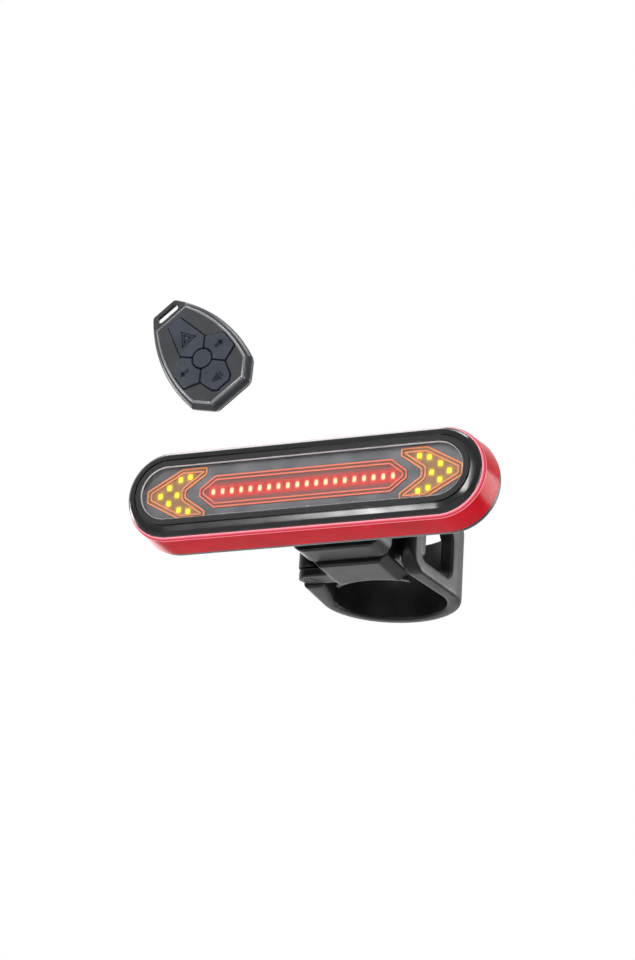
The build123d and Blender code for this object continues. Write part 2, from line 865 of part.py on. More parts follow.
def remote_outline(inset, rounded):
    """The remote's outline drawn in by an inset, as a sketch of its own."""
    with BuildSketch() as outline:
        with BuildLine():
            low_right = (remote_half_width, remote_low_side)
            low_left = (-remote_half_width, remote_low_side)
            side_right = (remote_side_u, remote_side_v)
            side_left = (-remote_side_u, remote_side_v)
            bottom_right = (remote_low_half, remote_bottom)
            bottom_left = (-remote_low_half, remote_bottom)
            loop_right = (remote_loop_half, remote_top)
            loop_left = (-remote_loop_half, remote_top)
            Line(loop_left, loop_right)
            ThreePointArc(loop_right, side_right, low_right)
            Polyline(low_right, bottom_right, bottom_left, low_left)
            ThreePointArc(low_left, side_left, loop_left)
        make_face()
        fillet(outline.vertices().group_by(Axis.Y)[-1], radius=rounded)
        fillet(outline.vertices().group_by(Axis.Y)[0], radius=rounded)
        if inset > 0:
            offset(amount=-inset, mode=Mode.REPLACE)
    return outline.sketch


def past_the_tab():
    """The part of the remote's outline that lies past the start of its lanyard tab."""
    with Locations((0, tab_v + remote_top / 2)):
        Rectangle(2 * remote_half_width, remote_top)


def face_outline(inset):
    """Outline of the raised face and of the hollow behind it, which end below the lanyard slot."""
    with BuildSketch() as outline:
        add(remote_outline(remote_face_inset, remote_corner))
        with Locations((0, remote_face_top - remote_top)):
            Rectangle(2 * remote_half_width, 2 * remote_top, mode=Mode.INTERSECT)
        if inset > 0:
            offset(amount=-inset, mode=Mode.REPLACE)
    return outline.sketch


# Each key's corners, except its arc round the centre key
key_corners = {
    "hazard_key": [
        (key_diagonal_u, key_diagonal_v),
        (hazard_half, hazard_top),
        (-hazard_half, hazard_top),
        (-key_diagonal_u, key_diagonal_v),
    ],
    "right_key": [
        (key_diagonal_u, -key_low_v),
        (side_key_u, side_key_low),
        (side_key_u, side_key_high),
        (side_key_shoulder, side_key_shoulder_v),
        (key_diagonal_u, key_diagonal_v),
    ],
    "left_key": [
        (-key_diagonal_u, key_diagonal_v),
        (-side_key_shoulder, side_key_shoulder_v),
        (-side_key_u, side_key_high),
        (-side_key_u, side_key_low),
        (-key_diagonal_u, -key_low_v),
    ],
    "horn_key": [
        (-key_diagonal_u, -key_low_v),
        (-horn_side, horn_side_v),
        (-horn_half, horn_bottom),
        (horn_half, horn_bottom),
        (horn_side, horn_side_v),
        (key_diagonal_u, -key_low_v),
    ],
}


def key_sketch(corners, inset, rounded):
    """One outer key: its corners joined to the centre, drawn in and cut clear of the centre key."""
    with BuildSketch() as outline:
        Polygon((0, 0), *corners, align=None)
        if inset > 0:
            offset(amount=-inset, mode=Mode.REPLACE)
        Circle(key_ring_radius, mode=Mode.SUBTRACT)
        if rounded > 0:
            fillet(outline.vertices(), radius=rounded)
    return outline.sketch


def keys_outline(grow):
    """All the keys together as one outline, grown by a gap, for the window and the sheet."""
    with BuildSketch() as outline:
        Circle(key_ring_radius)
        for corners in key_corners.values():
            add(key_sketch(corners, 0, 0))
        offset(amount=grow - key_gap / 2, mode=Mode.REPLACE)
    return outline.sketch


# Heights inside the remote, from the back case's floor to the keys
remote_roof_low = remote_front_height + remote_face_rise - remote_roof
key_rear = remote_front_height + remote_face_rise + key_proud - key_thickness
sheet_front = key_rear - key_travel - sheet_gap
remote_board_front = remote_board_seat + remote_board_thickness
remote_floor_front = remote_floor - remote_back_height
remote_screw_places = [
    (half * remote_screw_u, v) for half in (-1, 1) for v in (remote_screw_low_v, remote_screw_high_v)
]

# Front case: sides that widen to the face, raised face, hollow behind, key window, thin lanyard tab
with BuildPart() as remote_front_case:
    with BuildSketch(remote_plane(0)):
        add(remote_outline(remote_parting_inset, remote_corner))
    with BuildSketch(remote_plane(remote_side_height)):
        add(remote_outline(0, remote_corner))
    loft()
    with BuildSketch(remote_plane(remote_side_height)):
        add(remote_outline(0, remote_corner))
    extrude(amount=remote_front_height - remote_side_height)
    chamfer(remote_front_case.faces().sort_by(Axis.Y)[0].edges(), length=remote_face_edge)
    with BuildSketch(remote_plane(tab_high)):
        past_the_tab()
    extrude(amount=remote_front_height, mode=Mode.SUBTRACT)
    with BuildSketch(remote_plane(0)):
        past_the_tab()
    extrude(amount=tab_low, mode=Mode.SUBTRACT)
    with BuildSketch(remote_plane(remote_front_height)):
        add(face_outline(0))
    extrude(amount=remote_face_rise, taper=remote_face_slope)
    with BuildSketch(remote_plane(0)):
        add(face_outline(remote_wall - remote_face_inset))
    extrude(amount=remote_roof_low, mode=Mode.SUBTRACT)
    with BuildSketch(remote_plane(remote_board_front)):
        with Locations(*remote_screw_places):
            Circle(remote_post_radius)
    extrude(amount=remote_roof_low - remote_board_front)
    with BuildSketch(remote_plane(sheet_front)):
        add(keys_outline(key_wall_gap))
    extrude(amount=2 * remote_front_height, mode=Mode.SUBTRACT)
    with BuildSketch(remote_plane(0)):
        with Locations((0, lanyard_v)):
            SlotOverall(lanyard_width, lanyard_height)
    extrude(amount=2 * remote_front_height, mode=Mode.SUBTRACT)
    with BuildSketch(remote_plane(remote_board_front)):
        with Locations(*remote_screw_places):
            Circle(remote_screw_radius + screw_gap)
    extrude(amount=remote_screw_bite + screw_gap, mode=Mode.SUBTRACT)
save(remote_front_case, "remote_front_case")

# Back case: wide bevel all round, hollow, posts for the board and screw holes; it ends before the lanyard tab
with BuildPart() as remote_back_case:
    with BuildSketch(remote_plane(-remote_back_height)):
        add(remote_outline(remote_parting_inset, remote_back_corner))
    extrude(amount=remote_back_height)
    chamfer(remote_back_case.faces().sort_by(Axis.Y)[-1].edges(), length=remote_back_edge)
    with BuildSketch(remote_plane(-remote_back_height)):
        past_the_tab()
    extrude(amount=remote_back_height, mode=Mode.SUBTRACT)
    with BuildSketch(remote_plane(remote_floor_front)):
        add(face_outline(remote_back_wall - remote_face_inset))
    extrude(amount=remote_back_height, mode=Mode.SUBTRACT)
    with BuildSketch(remote_plane(remote_floor_front)):
        with Locations(*remote_screw_places):
            Circle(remote_post_radius)
    extrude(amount=remote_board_seat - remote_floor_front)
    with BuildSketch(remote_plane(-remote_back_height)):
        with Locations(*remote_screw_places):
            Circle(remote_screw_head + screw_gap)
    extrude(amount=remote_screw_head_height, mode=Mode.SUBTRACT)
    with BuildSketch(remote_plane(-remote_back_height)):
        with Locations(*remote_screw_places):
            Circle(remote_screw_radius + screw_gap)
    extrude(amount=2 * remote_back_height, mode=Mode.SUBTRACT)
save(remote_back_case, "remote_back_case")

# Keys: four round the centre key, each with softened upper edges
for key_name, corners in key_corners.items():
    with BuildPart() as outer_key:
        with BuildSketch(remote_plane(key_rear)):
            add(key_sketch(corners, key_gap / 2, key_corner))
        extrude(amount=key_thickness)
        fillet(outer_key.faces().sort_by(Axis.Y)[0].edges(), radius=key_round)
    save(outer_key, key_name)

with BuildPart() as centre_key:
    with BuildSketch(remote_plane(key_rear)):
        Circle(centre_key_radius)
    extrude(amount=key_thickness)
    fillet(centre_key.faces().sort_by(Axis.Y)[0].edges(), radius=key_round)
save(centre_key, "centre_key")

# Keypad sheet under the keys
with BuildPart() as keypad_sheet:
    with BuildSketch(remote_plane(sheet_front - sheet_thickness)):
        add(keys_outline(sheet_margin))
    extrude(amount=sheet_thickness)
save(keypad_sheet, "keypad_sheet")

# Remote board with its screw holes, and a dome switch under each key
with BuildPart() as remote_board:
    with BuildSketch(remote_plane(remote_board_seat)):
        add(face_outline(remote_wall - remote_face_inset + remote_board_gap))
        with Locations(*remote_screw_places):
            Circle(remote_screw_radius + screw_gap, mode=Mode.SUBTRACT)
    extrude(amount=remote_board_thickness)
save(remote_board, "remote_board")

dome_places = [
    (0, 0),
    (0, (key_diagonal_v + hazard_top) / 2),
    (0, (horn_bottom - key_low_v) / 2),
    ((key_diagonal_u + side_key_u) / 2, 0),
    (-(key_diagonal_u + side_key_u) / 2, 0),
]
with BuildPart() as key_switches:
    with BuildSketch(remote_plane(remote_board_front)):
        with Locations(*dome_places):
            Circle(dome_radius)
    extrude(amount=sheet_front - sheet_thickness - sheet_gap - remote_board_front)
save(key_switches, "key_switches")

# Coin cell on the back case's floor, held by a clip from the board
with BuildPart() as coin_cell:
    with BuildSketch(remote_plane(remote_floor_front)):
        with Locations((0, cell_v)):
            Circle(cell_radius)
    extrude(amount=cell_thickness)
save(coin_cell, "coin_cell")

cell_top = remote_floor_front + cell_thickness
with BuildPart() as cell_clip:
    with BuildSketch(remote_plane(cell_top)):
        with Locations((0, cell_v)):
            Rectangle(2 * cell_clip_reach, cell_clip_width)
    extrude(amount=cell_clip_thickness)
    with BuildSketch(remote_plane(cell_top)):
        for half in (-1, 1):
            with Locations((half * (cell_clip_reach - cell_clip_thickness / 2), cell_v)):
                Rectangle(cell_clip_thickness, cell_clip_width)
    extrude(amount=remote_board_seat - cell_top)
save(cell_clip, "cell_clip")

# Remote screws, from the back case through the board into the front case
with BuildPart() as remote_screws:
    with BuildSketch(remote_plane(-remote_back_height)):
        with Locations(*remote_screw_places):
            Circle(remote_screw_head)
    extrude(amount=remote_screw_head_height)
    with BuildSketch(remote_plane(-remote_back_height)):
        with Locations(*remote_screw_places):
            Circle(remote_screw_radius)
    extrude(amount=remote_back_height + remote_board_front + remote_screw_bite)
save(remote_screws, "remote_screws")
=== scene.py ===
import bmesh
import bpy
import json
import math
from mathutils import Matrix, Vector


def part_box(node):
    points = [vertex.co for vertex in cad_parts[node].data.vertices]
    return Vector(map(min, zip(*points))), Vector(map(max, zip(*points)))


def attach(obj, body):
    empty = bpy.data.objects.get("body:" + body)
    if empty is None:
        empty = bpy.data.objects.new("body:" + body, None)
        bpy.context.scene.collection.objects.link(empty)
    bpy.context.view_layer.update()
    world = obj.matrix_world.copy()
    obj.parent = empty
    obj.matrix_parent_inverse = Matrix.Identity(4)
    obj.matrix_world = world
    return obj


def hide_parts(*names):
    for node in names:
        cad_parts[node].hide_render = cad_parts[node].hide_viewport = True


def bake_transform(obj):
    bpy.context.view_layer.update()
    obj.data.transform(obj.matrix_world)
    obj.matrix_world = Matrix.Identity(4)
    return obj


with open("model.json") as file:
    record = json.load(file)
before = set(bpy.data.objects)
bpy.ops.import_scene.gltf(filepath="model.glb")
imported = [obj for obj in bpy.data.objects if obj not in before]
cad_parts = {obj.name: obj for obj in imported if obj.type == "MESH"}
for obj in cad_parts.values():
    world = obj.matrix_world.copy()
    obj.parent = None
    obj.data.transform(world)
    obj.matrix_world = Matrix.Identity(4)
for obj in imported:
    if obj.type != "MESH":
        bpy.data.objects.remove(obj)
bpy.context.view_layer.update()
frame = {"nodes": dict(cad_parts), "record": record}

nodes = frame["nodes"]
slot_of_node = {name: node.data.materials[0].name for name, node in nodes.items()}
body_of_node = {n: body for body, names in frame["record"]["behaviour"]["bodies"].items() for n in names}

# Lengths are in millimetres, but for the lights and the floor, and become metres where a mesh is made.
# A front is a distance backwards from the seat post's axis, along -Y.
mm = 0.001


def box_in_mm(name):
    """Lowest and highest corner of a node's box."""
    low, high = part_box(name)
    return low / mm, high / mm


# Lens, whose flange sits under the bezel
lens_low, lens_high = box_in_mm("lens")
face_front = -lens_low.y
lens_rear = -lens_high.y
flange_radius = lens_high.z
flange_width = 0.9
lens_step = 1.2
lens_gap = 0.1
lens_easing = 0.35
lens_radius = flange_radius - flange_width
flange_front = face_front - lens_step

# Bezel: a flat lip, a groove and a bevel of two steps that falls back to the red ring
bezel_low, bezel_high = box_in_mm("bezel")
bezel_front = -bezel_low.y
bezel_rear = -bezel_high.y
bezel_radius = bezel_high.z
core_half = bezel_high.x - bezel_radius
groove_width = 0.4
groove_depth = 0.5
bevel_top_width = 1.5
bevel_top_depth = 0.6
bevel_low_width = 0.9
bevel_low_depth = 0.9
bezel_wall = 1.35
bezel_web = 2.4
lip_easing = 0.15
groove_easing = 0.08
bevel_easing = 0.2
side_easing = 0.25
bezel_hole_radius = lens_radius + lens_gap
bevel_radius = bezel_radius - bevel_low_width
groove_outer_radius = bevel_radius - bevel_top_width
groove_inner_radius = groove_outer_radius - groove_width
groove_floor = bezel_front - groove_depth
bevel_front = bezel_front - bevel_top_depth
side_front = bevel_front - bevel_low_depth
bezel_cavity_radius = bezel_radius - bezel_wall
web_rear = bezel_front - bezel_web
lens_seat_radius = flange_radius + lens_gap
lens_seat_front = flange_front + lens_gap

# Red ring: a drafted side and a chamfer, over the bezel's side and the rear shell's
ring_low, ring_high = box_in_mm("red_ring")
ring_front = -ring_low.y
ring_rear = -ring_high.y
ring_rear_radius = ring_high.z
ring_draft = 0.75
ring_chamfer_width = 0.5
ring_chamfer_depth = 1.2
bezel_clearance = 0.06
shell_clearance = 0.12
ring_step_back = 0.1
ring_front_easing = 0.06
shoulder_easing = 0.15
ring_rear_easing = 0.08
ring_shoulder = ring_front - ring_chamfer_depth
ring_shoulder_radius = ring_rear_radius - ring_draft
ring_front_radius = ring_shoulder_radius - ring_chamfer_width
ring_step_front = bezel_rear - ring_step_back

# Light guides and lamps: a row of red ones, and amber ones at shares of an arrow's tip and half height
rib_height = 0.4
guide_gap = 0.1
arrow_low, arrow_high = box_in_mm("left_arrow_light_guide")
arrow_tip = guide_gap - arrow_low.x
arrow_half_height = arrow_high.z + guide_gap
arrow_face = arrow_low.y + rib_height
bar_face = box_in_mm("bar_light_guide")[0].y + rib_height
red_count = 20
red_pitch = 2.65
red_span = red_count * red_pitch / 2
red_half = (0.5, 0.82)
amber_half = (0.64, 0.76)
amber_shares = [(0.727, 0.667), (0.788, 0.586), (0.858, 0.307), (0.806, 0.0), (0.914, 0.0)]
corner_power = 4

# Remote: its middle, its tilt and the height of its keys
centre_low, centre_high = box_in_mm("centre_key")
remote_parting = box_in_mm("remote_front_case")[1].y
remote_middle = (centre_low + centre_high) / 2
remote_middle.y = remote_parting
remote_tilt = math.radians(38.8)
key_top = remote_parting - centre_low.y
remote_u = Vector((math.cos(remote_tilt), 0, math.sin(remote_tilt)))
remote_v = Vector((-math.sin(remote_tilt), 0, math.cos(remote_tilt)))

# Camera, at the photograph's place and angle
camera_azimuth = math.radians(23.66)
camera_elevation = math.radians(-20.66)
camera_roll = math.radians(3.55)
camera_distance = 746.29
camera_target = Vector((5.5, -67.3, -0.45))
focal_pixels = 2906.45
image_long_side = 960
sensor_width = 36.0

back = Vector((
    math.sin(camera_azimuth) * math.cos(camera_elevation),
    -math.cos(camera_azimuth) * math.cos(camera_elevation),
    math.sin(camera_elevation),
))
level_right = Vector((math.cos(camera_azimuth), math.sin(camera_azimuth), 0))
level_up = back.cross(level_right)
right = math.cos(camera_roll) * level_right + math.sin(camera_roll) * level_up
up = back.cross(right)
camera_data = bpy.data.cameras.new("camera")
camera_data.sensor_width = sensor_width
camera_data.lens = sensor_width * focal_pixels / image_long_side
camera = bpy.data.objects.new("camera", camera_data)
bpy.context.scene.collection.objects.link(camera)
camera_place = Matrix.Translation((camera_target + back * camera_distance) * mm)
camera.matrix_world = camera_place @ Matrix((right, up, back)).transposed().to_4x4()
bpy.context.scene.camera = camera
bpy.context.scene.view_settings.view_transform = "Standard"


# Soft studio light
def area_light(name, place, aim, size, power):
    """A rectangular soft box at a place, turned to its aim, in metres and watts."""
    data = bpy.data.lights.new(name, "AREA")
    data.shape = "RECTANGLE"
    data.size, data.size_y = size
    data.energy = power
    lamp = bpy.data.objects.new(name, data)
    bpy.context.scene.collection.objects.link(lamp)
    lamp.location = place
    lamp.rotation_mode = "QUATERNION"
    lamp.rotation_quaternion = (Vector(aim) - Vector(place)).to_track_quat("-Z", "Y")


light_aim = (0, -0.06, 0)
bezel_aim = (0.025, -0.066, -0.009)
remote_aim = (-0.055, -0.012, 0.061)

# Name, place, aim, size and power
studio_lights = [
    ("front_light", (-0.36, -0.83, 0.33), light_aim, (0.7, 0.5), 1.3),
    ("strip_light", (0.24, -0.92, 0.12), light_aim, (0.14, 0.5), 7.5),
    ("low_light", (-0.29, -0.84, -0.31), bezel_aim, (0.06, 0.20), 2.0),
    ("side_light", (0.62, 0.66, 0.07), light_aim, (0.35, 0.5), 6.0),
    ("top_light", (-0.37, 0.30, 0.85), light_aim, (0.6, 0.3), 3.0),
    ("left_strip", (-0.351, 0.010, 0.019), remote_aim, (0.04, 0.16), 0.35),
    ("top_strip", (0.049, -0.034, 0.342), remote_aim, (0.04, 0.16), 0.35),
    ("back_light", (-0.5, 0.85, 0.1), light_aim, (0.6, 0.6), 2.5),
]
for light in studio_lights:
    area_light(*light)


def seen_directly(tree):
    """A socket that is 1 on camera, transmission and glossy rays and 0 on the others."""
    paths = tree.nodes.new("ShaderNodeLightPath")
    seen = paths.outputs["Is Camera Ray"]
    for ray in ("Is Transmission Ray", "Is Glossy Ray"):
        either = tree.nodes.new("ShaderNodeMath")
        either.operation = "MAXIMUM"
        tree.links.new(seen, either.inputs[0])
        tree.links.new(paths.outputs[ray], either.inputs[1])
        seen = either.outputs[0]
    return seen


# White world, which lights the object less than it shows to the camera and in mirrors
ambient_strength = 0.42
world = bpy.data.worlds.new("studio")
bpy.context.scene.world = world
world.use_nodes = True
sky = world.node_tree
strength = sky.nodes.new("ShaderNodeMapRange")
strength.inputs["To Min"].default_value = ambient_strength
strength.inputs["To Max"].default_value = 1.0
sky.links.new(seen_directly(sky), strength.inputs["Value"])
sky.links.new(strength.outputs["Result"], sky.nodes["Background"].inputs["Strength"])
sky.nodes["Background"].inputs["Color"].default_value = (1, 1, 1, 1)


# Materials
class Shader:
    """One node material, with short calls for the nodes that the finishes share."""

    def __init__(self, name):
        self.material = bpy.data.materials.new(name)
        self.material.use_nodes = True
        self.tree = self.material.node_tree
        self.surface = self.tree.nodes["Principled BSDF"]
        self.place = self.tree.nodes.new("ShaderNodeTexCoord").outputs["Object"]

    def join(self, out, socket):
        """A link from another socket, or a plain number."""
        if isinstance(out, (int, float)):
            socket.default_value = out
        else:
            self.tree.links.new(out, socket)

    def math(self, operation, *values):
        """One step of a sum on numbers or sockets."""
        node = self.tree.nodes.new("ShaderNodeMath")
        node.operation = operation
        for value, socket in zip(values, node.inputs):
            self.join(value, socket)
        return node.outputs[0]

    def split(self, out):
        """The X, Y and Z of a vector socket."""
        node = self.tree.nodes.new("ShaderNodeSeparateXYZ")
        self.join(out, node.inputs[0])
        return node.outputs

    def axes(self):
        """The place's X, Y and Z in millimetres."""
        return [self.math("MULTIPLY", out, 1 / mm) for out in self.split(self.place)]

    def noise(self, size, detail=2.0):
        """A noise whose grains are about size millimetres."""
        mapping = self.tree.nodes.new("ShaderNodeMapping")
        mapping.inputs["Scale"].default_value = [1 / (size * mm)] * 3
        self.join(self.place, mapping.inputs["Vector"])
        node = self.tree.nodes.new("ShaderNodeTexNoise")
        node.inputs["Scale"].default_value = 1.0
        node.inputs["Detail"].default_value = detail
        self.join(mapping.outputs[0], node.inputs["Vector"])
        return node.outputs["Fac"]

    def reach(self, dx, dz, half):
        """Distance from a lamp's middle, 1 on a rounded rectangle of half width and half height."""
        parts = [
            self.math("POWER", self.math("ABSOLUTE", self.math("DIVIDE", d, size)), corner_power)
            for d, size in ((dx, half[0]), (dz, half[1]))
        ]
        return self.math("POWER", self.math("ADD", *parts), 1 / corner_power)

    def ramp(self, factor, *stops):
        """A colour ramp; each stop is (position, (red, green, blue))."""
        node = self.tree.nodes.new("ShaderNodeValToRGB")
        band = node.color_ramp
        while len(band.elements) < len(stops):
            band.elements.new(1.0)
        for element, (position, colour) in zip(band.elements, stops):
            element.position = position
            element.color = (*colour, 1)
        self.join(factor, node.inputs["Fac"])
        return node.outputs["Color"]

    def span(self, value, low, high, to_low=0.0, to_high=1.0):
        """A value's range low..high mapped to another range."""
        node = self.tree.nodes.new("ShaderNodeMapRange")
        for name, number in (("From Min", low), ("From Max", high), ("To Min", to_low), ("To Max", to_high)):
            node.inputs[name].default_value = number
        self.join(value, node.inputs["Value"])
        return node.outputs["Result"]

    def mix(self, factor, first, second):
        """Two colours mixed; each is a socket or (red, green, blue)."""
        node = self.tree.nodes.new("ShaderNodeMix")
        node.data_type = "RGBA"
        self.join(factor, node.inputs["Factor"])
        for value, socket in ((first, node.inputs[6]), (second, node.inputs[7])):
            if isinstance(value, tuple):
                socket.default_value = (*value, 1)
            else:
                self.join(value, socket)
        return node.outputs[2]

    def bump(self, height, depth):
        """Bump from a height, depth in millimetres."""
        node = self.tree.nodes.new("ShaderNodeBump")
        node.inputs["Strength"].default_value = 1.0
        node.inputs["Distance"].default_value = depth * mm
        self.join(height, node.inputs["Height"])
        self.join(node.outputs[0], self.surface.inputs["Normal"])

    def set(self, **values):
        """Numbers, colours and sockets set straight on the surface's own sockets."""
        for name, value in values.items():
            socket = self.surface.inputs[name.replace("_", " ")]
            if isinstance(value, tuple):
                socket.default_value = (*value, 1)
            else:
                self.join(value, socket)


def srgb(red, green, blue):
    """A screen colour of 0..255 as linear light, by the sRGB standard's own curve."""
    def linear(c):
        c /= 255
        return c / 12.92 if c <= 0.04045 else ((c + 0.055) / 1.055) ** 2.4
    return linear(red), linear(green), linear(blue)


# The makers below take screen colours of 0..255, and sizes of grains and depths of bumps in millimetres
sheen_rise = 0.05
sheen_fall = 0.04
polish_rise = 0.15


def moulded(name, dark, pale, roughness, grain=0.25, depth=0.01, edge_tone=None, specular=0.5):
    """Moulded plastic or rubber: two tones in soft patches, a fine grain and, with an edge tone, paler sharp
    edges broken up by noise.
    """
    shader = Shader(name)
    patches = shader.noise(size=6.0, detail=3.0)
    colour = shader.ramp(patches, (0.35, srgb(*dark)), (0.68, srgb(*pale)))
    if edge_tone:
        # Sharply curved edges turn paler, in patches of noise.
        edge = shader.tree.nodes.new("ShaderNodeNewGeometry").outputs["Pointiness"]
        edge = shader.span(edge, low=0.53, high=0.62)
        edge_breakup = shader.span(shader.noise(size=1.2, detail=4.0), low=0.4, high=0.65)
        colour = shader.mix(shader.math("MULTIPLY", edge, edge_breakup), colour, srgb(*edge_tone))
    sheen = shader.span(
        patches, low=0.3, high=0.7, to_low=roughness - sheen_fall, to_high=roughness + sheen_rise)
    shader.set(Base_Color=colour, Roughness=sheen, Specular_IOR_Level=specular)
    shader.bump(shader.noise(grain), depth)
    return shader.material


def metal(name, dark, pale, roughness):
    """Bare metal with a fine uneven polish."""
    shader = Shader(name)
    polish = shader.noise(size=0.3, detail=3.0)
    colour = shader.ramp(polish, (0.3, srgb(*dark)), (0.7, srgb(*pale)))
    sheen = shader.span(polish, low=0.2, high=0.8, to_low=roughness, to_high=roughness + polish_rise)
    shader.set(Base_Color=colour, Metallic=1.0, Roughness=sheen)
    shader.bump(polish, depth=0.01)
    return shader.material


strip_overrun = 1.0
strip_fade = 0.5


def row_glow(shader, x, z):
    """Halos of the bar's evenly spaced lamps, and the lit strip along them."""
    along = shader.math("ABSOLUTE", x)
    half_pitch = red_pitch / 2
    across = shader.math("WRAP", shader.math("ADD", x, half_pitch), half_pitch, -half_pitch)
    halos = shader.span(shader.reach(across, z, red_half), low=2.2, high=1.0)
    within = shader.math("LESS_THAN", along, red_span)
    strip = shader.span(shader.math("ABSOLUTE", z), low=2.6, high=1.3)
    ends = shader.span(along, low=red_span + strip_overrun, high=red_span - strip_fade)
    return shader.math("MULTIPLY", halos, within), shader.math("MULTIPLY", strip, ends)


def arrow_glow(shader, x, z):
    """Halos of an arrow's lamps, and the lit patches round them."""
    along = shader.math("ABSOLUTE", x)
    height = shader.math("ABSOLUTE", z)
    nearest = None
    for share_x, share_z in amber_shares:
        dx = shader.math("SUBTRACT", along, share_x * arrow_tip)
        dz = shader.math("SUBTRACT", height, share_z * arrow_half_height)
        reach = shader.reach(dx, dz, amber_half)
        nearest = reach if nearest is None else shader.math("MINIMUM", nearest, reach)
    return shader.span(nearest, low=1.9, high=1.0), shader.span(nearest, low=4.5, high=1.2)


def guide_material(name, glow, face, plain, strip, outline, halo):
    """A light guide: plain body, a painted glow of its lamps as a lit strip and halos round them, and
    brighter raised outlines.
    """
    shader = Shader(name)
    x, y, z = shader.axes()
    halos, lit = glow(shader, x, z)
    cloud = shader.span(shader.noise(size=1.6, detail=3.0), low=0.3, high=0.7, to_low=0.82, to_high=1.0)
    body = shader.mix(shader.math("MULTIPLY", lit, cloud), srgb(*plain), srgb(*strip))
    body = shader.mix(halos, body, srgb(*halo))
    raised = shader.math("LESS_THAN", y, face - rib_height / 2)
    colour = shader.mix(raised, body, srgb(*outline))
    sheen = shader.span(shader.noise(size=0.6), low=0.3, high=0.7, to_low=0.35, to_high=0.5)
    # The guide is no lamp, so its faint glow in its own colour is painted light.
    shader.set(Base_Color=colour, Roughness=sheen, Emission_Color=colour, Emission_Strength=0.3)
    shader.bump(shader.noise(size=0.3), depth=0.02)
    return shader.material


def lamp_material(name, middle, rim, power):
    """A lit lamp window: nearly even, a little deeper towards its edges."""
    shader = Shader(name)
    normal = shader.tree.nodes.new("ShaderNodeNewGeometry").outputs["Normal"]
    towards = shader.math("MULTIPLY", shader.split(normal)["Y"], -1.0)
    front = shader.span(towards, low=0.2, high=0.95)
    speck = shader.span(shader.noise(size=0.5), low=0.2, high=0.8, to_low=0.92, to_high=1.0)
    colour = shader.mix(shader.math("MULTIPLY", front, speck), srgb(*rim), srgb(*middle))
    shader.set(Base_Color=colour, Roughness=0.3, Emission_Color=colour, Emission_Strength=power)
    return shader.material


def lens_material():
    """Clear smoke grey plastic with a faint haze and fine moulding marks."""
    shader = Shader("smoke_lens")
    haze = shader.noise(size=9.0, detail=3.0)
    shader.set(
        Base_Color=shader.ramp(haze, (0.3, srgb(64, 64, 68)), (0.7, srgb(80, 80, 85))),
        Roughness=shader.span(haze, low=0.3, high=0.7, to_low=0.05, to_high=0.10),
        Alpha=0.14, Specular_IOR_Level=0.4, Coat_Weight=0.1)
    shader.bump(shader.noise(size=3.0), depth=0.004)
    return shader.material


def ring_material():
    """Clear red plastic: deep red sides, and a painted highlight on the chamfered front, pale bands with a
    darker line between them.
    """
    shader = Shader("ring_red")
    shoulder_lap = 0.2
    chamfer_foot = ring_shoulder - shoulder_lap
    front = shader.math("MULTIPLY", shader.axes()[1], -1.0)
    cloud = shader.noise(size=7.0, detail=3.0)
    side = shader.ramp(cloud, (0.3, srgb(164, 0, 18)), (0.7, srgb(188, 0, 28)))
    # Painted highlight: pale bands across the chamfered front edge stand in for light caught there, with a
    # darker line between them.
    chamfer_highlight_paint = shader.ramp(
        shader.span(front, low=chamfer_foot, high=ring_front),
        (0.0, srgb(190, 20, 44)), (0.12, srgb(240, 160, 168)), (0.26, srgb(186, 40, 60)),
        (0.6, srgb(196, 60, 80)), (1.0, srgb(240, 150, 160)))
    shader.set(
        Base_Color=shader.mix(shader.math("GREATER_THAN", front, chamfer_foot), side, chamfer_highlight_paint),
        Roughness=shader.span(cloud, low=0.3, high=0.7, to_low=0.18, to_high=0.28),
        Specular_IOR_Level=0.04)
    shader.bump(shader.noise(size=4.0), depth=0.02)
    return shader.material


